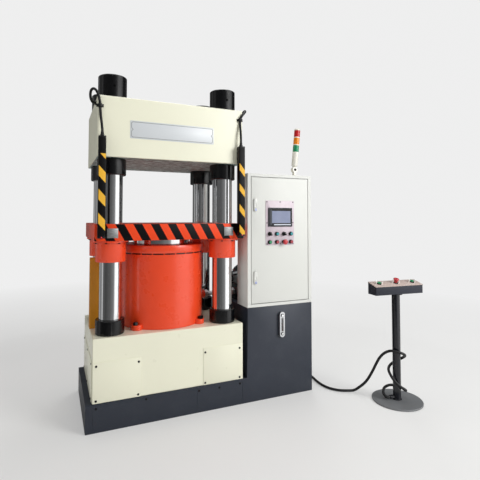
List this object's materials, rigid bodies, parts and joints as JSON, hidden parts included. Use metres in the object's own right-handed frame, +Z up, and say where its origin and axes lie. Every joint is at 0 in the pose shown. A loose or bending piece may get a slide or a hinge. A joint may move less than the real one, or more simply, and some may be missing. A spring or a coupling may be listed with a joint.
{
  "type": "hydraulic press",
  "caption": "Four-column up-stroke hydraulic press with side oil tank, electrical cabinet, light curtains, signal tower and a tethered two-hand control stand.",
  "frame": {"origin": "on the floor, under the axis of the main cylinder and the middle of the four columns", "axes": "+X to the operator's right along the front, +Y from the operator's side to the rear, +Z up"},
  "size_m": [2.3768, 1.2951, 2.305],
  "materials": {
    "cream_paint": "semi-gloss enamel",
    "orange_paint": "gloss enamel",
    "slate_paint": "semi-gloss enamel",
    "base_paint": "semi-gloss enamel",
    "white_paint": "fine-textured powder coat",
    "hard_chrome": "ground and hard-chromed",
    "black_steel": "gloss black",
    "black_plastic": "matte",
    "mustard_paint": "semi-gloss enamel",
    "bright_steel": "plated",
    "panel_laminate": "satin laminate",
    "screen_housing": "matte",
    "red_plastic": "gloss",
    "green_plastic": "gloss",
    "teal_plastic": "gloss",
    "lamp_plastic": "gloss",
    "motor_paint": "semi-gloss enamel"
  },
  "bodies": {
    "frame": {"oil_tank": "slate_paint", "bed": "cream_paint", "bed_cover_front_left": "cream_paint", "bed_cover_front_right": "cream_paint", "bed_cover_side": "cream_paint", "column_front_left": "hard_chrome", "column_front_right": "hard_chrome", "column_rear_left": "hard_chrome", "column_rear_right": "hard_chrome", "top_nut_front_left": "black_steel", "top_nut_front_right": "black_steel", "top_nut_rear_left": "black_steel", "top_nut_rear_right": "black_steel", "upper_collar_front_left": "black_steel", "upper_collar_front_right": "black_steel", "upper_collar_rear_left": "black_steel", "upper_collar_rear_right": "black_steel", "lower_collar_front_left": "black_steel", "lower_collar_front_right": "black_steel", "lower_collar_rear_left": "black_steel", "lower_collar_rear_right": "black_steel", "crown": "cream_paint", "cylinder_barrel": "orange_paint", "cylinder_gland": "orange_paint", "light_curtain_left": "black_plastic", "light_curtain_right": "black_plastic", "curtain_cable_left": "black_plastic", "curtain_cable_right": "black_plastic", "switch_guard": "mustard_paint", "oil_gauge": "bright_steel", "cabinet": "white_paint", "mounting_plate": "bright_steel", "tower_bracket": "lamp_plastic", "pump_motor": "motor_paint", "pump": "slate_paint", "valve_block": "black_steel", "pressure_pipe": "bright_steel", "stand_base": "base_paint", "stand_pole": "slate_paint", "stand_box": "slate_paint", "stand_conduit": "black_plastic"},
    "moving_platen": {"platen": "orange_paint", "ram": "hard_chrome"},
    "cabinet_door": {"door": "white_paint", "control_panel": "panel_laminate", "touch_screen": "screen_housing"},
    "lock_lever_upper_body": {"lock_lever_upper": "white_paint"},
    "lock_lever_lower_body": {"lock_lever_lower": "white_paint"},
    "selector_left_body": {"selector_left": "black_plastic"},
    "selector_right_body": {"selector_right": "black_plastic"},
    "reset_button_body": {"reset_button": "teal_plastic"},
    "light_button_body": {"light_button": "teal_plastic"},
    "start_button_body": {"start_button": "green_plastic"},
    "stop_button_body": {"stop_button": "red_plastic"},
    "return_button_body": {"return_button": "red_plastic"},
    "panel_emergency_stop_body": {"panel_emergency_stop": "red_plastic"},
    "tower_light_body": {"tower_light": "lamp_plastic"},
    "palm_button_left_body": {"palm_button_left": "green_plastic"},
    "palm_button_right_body": {"palm_button_right": "green_plastic"},
    "stand_emergency_stop_body": {"stand_emergency_stop": "red_plastic"}
  },
  "joints": [
    {"name": "platen_lift", "type": "slide", "parent": "frame", "child": "moving_platen", "axis": [0, 0, 1], "range_m": [0, 0.3]},
    {"name": "door_hinge", "type": "hinge", "parent": "frame", "child": "cabinet_door", "pos_m": [1.085, -0.348, 1.186], "axis": [0, 0, 1], "range_deg": [0, 105]},
    {"name": "lock_upper_pivot", "type": "hinge", "parent": "cabinet_door", "child": "lock_lever_upper_body", "pos_m": [0.626, -0.3627, 1.4907], "axis": [-1, 0, 0], "range_deg": [0, 35]},
    {"name": "lock_lower_pivot", "type": "hinge", "parent": "cabinet_door", "child": "lock_lever_lower_body", "pos_m": [0.626, -0.3627, 0.9477], "axis": [-1, 0, 0], "range_deg": [0, 35]},
    {"name": "selector_left_turn", "type": "hinge", "parent": "cabinet_door", "child": "selector_left_body", "pos_m": [0.745, -0.36, 1.23], "axis": [0, 1, 0], "range_deg": [0, 90]},
    {"name": "selector_right_turn", "type": "hinge", "parent": "cabinet_door", "child": "selector_right_body", "pos_m": [0.869, -0.36, 1.23], "axis": [0, 1, 0], "range_deg": [0, 90]},
    {"name": "reset_button_push", "type": "slide", "parent": "cabinet_door", "child": "reset_button_body", "axis": [0, 1, 0], "range_m": [0, 0.003], "stiffness_N_per_m": 300, "springref_m": -0.003},
    {"name": "light_button_push", "type": "slide", "parent": "cabinet_door", "child": "light_button_body", "axis": [0, 1, 0], "range_m": [0, 0.003], "stiffness_N_per_m": 300, "springref_m": -0.003},
    {"name": "start_button_push", "type": "slide", "parent": "cabinet_door", "child": "start_button_body", "axis": [0, 1, 0], "range_m": [0, 0.003], "stiffness_N_per_m": 300, "springref_m": -0.003},
    {"name": "stop_button_push", "type": "slide", "parent": "cabinet_door", "child": "stop_button_body", "axis": [0, 1, 0], "range_m": [0, 0.003], "stiffness_N_per_m": 300, "springref_m": -0.003},
    {"name": "return_button_push", "type": "slide", "parent": "cabinet_door", "child": "return_button_body", "axis": [0, 1, 0], "range_m": [0, 0.003], "stiffness_N_per_m": 300, "springref_m": -0.003},
    {"name": "panel_emergency_stop_push", "type": "slide", "parent": "cabinet_door", "child": "panel_emergency_stop_body", "axis": [0, 1, 0], "range_m": [0, 0.004]},
    {"name": "tower_light_fold", "type": "hinge", "parent": "frame", "child": "tower_light_body", "pos_m": [1.034, -0.255, 1.743], "axis": [0, 1, 0], "range_deg": [-95, 10]},
    {"name": "palm_button_left_push", "type": "slide", "parent": "frame", "child": "palm_button_left_body", "axis": [0.0253, 0.2512, -0.9676], "range_m": [0, 0.004], "stiffness_N_per_m": 400, "springref_m": -0.004},
    {"name": "palm_button_right_push", "type": "slide", "parent": "frame", "child": "palm_button_right_body", "axis": [0.0253, 0.2512, -0.9676], "range_m": [0, 0.004], "stiffness_N_per_m": 400, "springref_m": -0.004},
    {"name": "stand_emergency_stop_push", "type": "slide", "parent": "frame", "child": "stand_emergency_stop_body", "axis": [0.0253, 0.2512, -0.9676], "range_m": [0, 0.004]}
  ]
}
